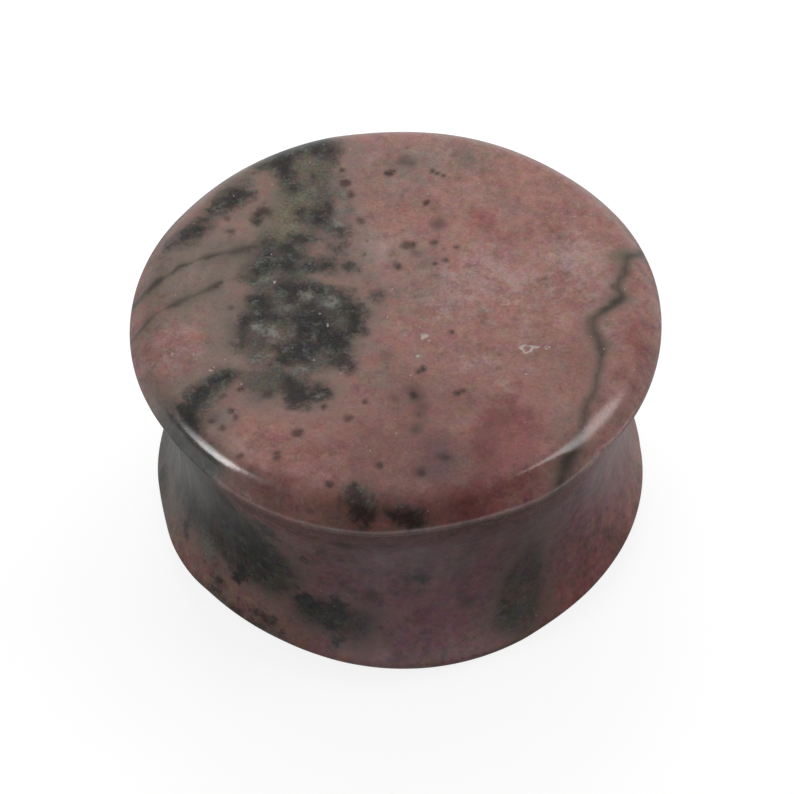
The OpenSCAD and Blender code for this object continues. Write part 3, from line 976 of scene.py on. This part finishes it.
    # Polish: a little relief, and on the side faint strokes that run up and down
    x, y, _ = graph.parts(place)
    strokes = graph.noise(graph.vector(x, y, height * 0.12), 1.5, 3.0, 0.6) * side
    roughness = 0.22 + grain * 0.08 + chip.ease(0.1, 0.6) * 0.35
    relief = grain * 0.5 + dust * 0.7 - black.ease(-0.3, 0.5) * 0.25 - painted_light * 1.5
    normal = graph.node("ShaderNodeBump", None,
                        {"Strength": 0.35, "Distance": 0.00002, "Height": relief})
    surface = graph.node("ShaderNodeBsdfPrincipled", None,
                         {"Base Color": colour, "Roughness": roughness, "Normal": normal,
                          "IOR": 1.6, "Coat Weight": strokes.ease(-0.1, 0.35) * 0.6,
                          "Coat Roughness": 0.1})
    graph.node("ShaderNodeOutputMaterial", None, {"Surface": surface})
    return material


class EARPLUG_OT_stone(bpy.types.Operator):
    """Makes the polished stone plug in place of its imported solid"""

    bl_idname = "earplug.stone"
    bl_label = "Stone Plug"

    def execute(self, context):
        material = stone_material(context.scene.stone_colours)
        plug = turned_plug(context.scene.plug_sizes, material)
        cut_pits(plug.data)
        lay_markings(plug.data)
        if not len(plug.data.polygons):
            raise RuntimeError("the plug came out empty")
        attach(plug, "root")
        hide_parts(NODE)
        return {"FINISHED"}


# The camera, in degrees and metres, and its shift in picture widths
CAMERA_ELEVATION = 51.4
CAMERA_DISTANCE = 0.1029
CAMERA_LENS = 84.29
CAMERA_ROLL = -1.8
CAMERA_CLIP = 0.001
PICTURE_WIDTH = 794
CAMERA_SHIFT = (-0.5 / PICTURE_WIDTH, -8.5 / PICTURE_WIDTH)

# Soft boxes, by their azimuth and elevation seen from the plug, with their width, height
# and distance in metres, their radiance, and whether they light the stone or show as a
# reflection in its polish
SoftBox = namedtuple("SoftBox", "name azimuth elevation width height distance radiance lights")
SOFT_BOXES = [
    SoftBox("left_glint", 195, 33, 0.06, 0.13, 0.33, 9.0, False),
    SoftBox("left_glow", 191, 34, 0.11, 0.16, 0.33, 3.5, False),
    SoftBox("right_glint", -6, 46, 0.17, 0.14, 0.33, 3.8, False),
    SoftBox("top_box", 90, 55, 0.06, 0.06, 0.075, 2.4, True),
    SoftBox("right_box", 0, 28, 0.17, 0.17, 0.33, 3.2, True),
    SoftBox("left_box", 215, 28, 0.17, 0.17, 0.33, 2.35, True),
]

FLOOR_RADIUS = 1.5
WHITE = (1.0, 1.0, 1.0)


def direction(azimuth, elevation):
    a, e = math.radians(azimuth), math.radians(elevation)
    return Vector((math.cos(a) * math.cos(e), math.sin(a) * math.cos(e), math.sin(e)))


def place_camera(scene, middle):
    back = direction(-90, CAMERA_ELEVATION)
    camera = bpy.data.objects.new("camera", bpy.data.cameras.new("camera"))
    camera.data.lens = CAMERA_LENS
    camera.data.shift_x, camera.data.shift_y = CAMERA_SHIFT
    camera.data.clip_start = CAMERA_CLIP
    camera.location = middle + back * CAMERA_DISTANCE
    camera.rotation_mode = "QUATERNION"
    roll = Quaternion((0, 0, 1), math.radians(CAMERA_ROLL))
    camera.rotation_quaternion = (-back).to_track_quat("-Z", "Y") @ roll
    scene.collection.objects.link(camera)
    scene.camera = camera


def place_soft_box(scene, box, middle):
    lamp = bpy.data.objects.new(box.name, bpy.data.lights.new(box.name, "AREA"))
    lamp.data.shape = "RECTANGLE"
    lamp.data.size = box.width
    lamp.data.size_y = box.height
    lamp.data.energy = box.radiance * math.pi * box.width * box.height
    away = direction(box.azimuth, box.elevation)
    lamp.location = middle + away * box.distance
    lamp.rotation_mode = "QUATERNION"
    lamp.rotation_quaternion = away.to_track_quat("Z", "Y")
    lamp.visible_camera = False
    lamp.visible_diffuse = box.lights
    lamp.visible_glossy = not box.lights
    scene.collection.objects.link(lamp)


def by_ray(graph, seen, reflected, felt):
    """One shader for the camera, one for reflections and one for the light on the stone."""
    camera_ray, glossy_ray = graph.node("ShaderNodeLightPath", None, None,
                                        ("Is Camera Ray", "Is Glossy Ray"))
    unseen = graph.node("ShaderNodeMixShader", None, {0: glossy_ray, 1: felt, 2: reflected})
    return graph.node("ShaderNodeMixShader", None, {0: camera_ray, 1: unseen, 2: seen})


def floor_material():
    """A floor that is nearly white, apart from a soft shadow, and lights the stone little; in reflections
    it shows a painted shadow round the plug.
    """
    material = bpy.data.materials.new("pale_floor")
    material.use_nodes = True
    graph = Graph(material.node_tree)
    glow = graph.node("ShaderNodeEmission", None, {"Color": WHITE, "Strength": 0.84})
    matt = graph.node("ShaderNodeBsdfDiffuse", None, {"Color": (0.3, 0.3, 0.3)})
    seen = graph.node("ShaderNodeAddShader", None, {0: glow, 1: matt})
    place = graph.node("ShaderNodeTexCoord", None, None, "Object")
    x, y, _ = graph.parts(place)
    away = graph.distance(place, (0.0, 0.0, 0.0))
    # Painted shadow and light in what the polish reflects of the floor: dim within about 17 mm of the
    # plug's axis and brighter farther out, brighter in front than behind, and a little brighter to the
    # right and away from the diagonals
    painted_light = away.ease(0.017, 0.055) * (0.72 - y.ease(-0.02, 0.02) * 0.5)
    painted_light = painted_light + x.ease(0.0, 0.03) * 0.05 + abs(abs(x) - abs(y)).ease(0.006, 0.015) * 0.14
    reflected = graph.node("ShaderNodeEmission", None, {"Color": WHITE, "Strength": 0.15 + painted_light})
    felt = graph.node("ShaderNodeBsdfDiffuse", None, {"Color": (0.18, 0.18, 0.18)})
    graph.node("ShaderNodeOutputMaterial", None, {"Surface": by_ray(graph, seen, reflected, felt)})
    return material


def room_world():
    """Soft surroundings: their light comes from above and behind, and the polish reflects a
    pale back wall and a thin bright band along the horizon."""
    world = bpy.data.worlds.new("room")
    world.use_nodes = True
    graph = Graph(world.node_tree)
    _, y, z = graph.parts(graph.node("ShaderNodeTexCoord", None, None, "Generated"))
    behind = (y * 0.7 + z * 0.5).ease(-0.2, 0.85)
    horizon = 1 - z.ease(0.0, 0.45)

    def room(strength):
        return graph.node("ShaderNodeBackground", None, {"Color": WHITE, "Strength": strength})

    horizon = horizon * (0.35 - behind * 0.2)
    surface = by_ray(graph, room(1.0), room(0.06 + behind * 0.25 + horizon),
                     room(0.05 + behind * 0.3))
    graph.node("ShaderNodeOutputWorld", None, {"Surface": surface})
    return world


class EARPLUG_OT_stage(bpy.types.Operator):
    """Makes the camera, the soft boxes, the surroundings and the floor"""

    bl_idname = "earplug.stage"
    bl_label = "Stage"

    def execute(self, context):
        scene = context.scene
        middle = Vector((0, 0, LENGTH / 2))
        place_camera(scene, middle)
        for box in SOFT_BOXES:
            place_soft_box(scene, box, middle)
        scene.world = room_world()
        mesh = bpy.data.meshes.new("floor")
        form = bmesh.new()
        bmesh.ops.create_circle(form, cap_ends=True, segments=96, radius=FLOOR_RADIUS)
        form.to_mesh(mesh)
        form.free()
        floor = bpy.data.objects.new("floor", mesh)
        mesh.materials.append(floor_material())
        scene.collection.objects.link(floor)
        scene.view_settings.view_transform = "Standard"
        return {"FINISHED"}


class EARPLUG_PT_panel(bpy.types.Panel):
    bl_label = "Stone Ear Plug"
    bl_space_type = "VIEW_3D"
    bl_region_type = "UI"
    bl_category = "Ear Plug"

    def draw(self, context):
        column = self.layout.column()
        for settings in (context.scene.plug_sizes, context.scene.stone_colours):
            for name in type(settings).__annotations__:
                column.prop(settings, name)
        column.operator(EARPLUG_OT_stone.bl_idname)
        column.operator(EARPLUG_OT_stage.bl_idname)


CLASSES = (PlugSizes, StoneColours, EARPLUG_OT_stone, EARPLUG_OT_stage, EARPLUG_PT_panel)


def register():
    for each in CLASSES:
        bpy.utils.register_class(each)
    bpy.types.Scene.plug_sizes = bpy.props.PointerProperty(type=PlugSizes)
    bpy.types.Scene.stone_colours = bpy.props.PointerProperty(type=StoneColours)


def unregister():
    del bpy.types.Scene.stone_colours
    del bpy.types.Scene.plug_sizes
    for each in reversed(CLASSES):
        bpy.utils.unregister_class(each)


def main():
    register()
    bpy.ops.earplug.stone()
    bpy.ops.earplug.stage()


if __name__ == "__main__":
    main()
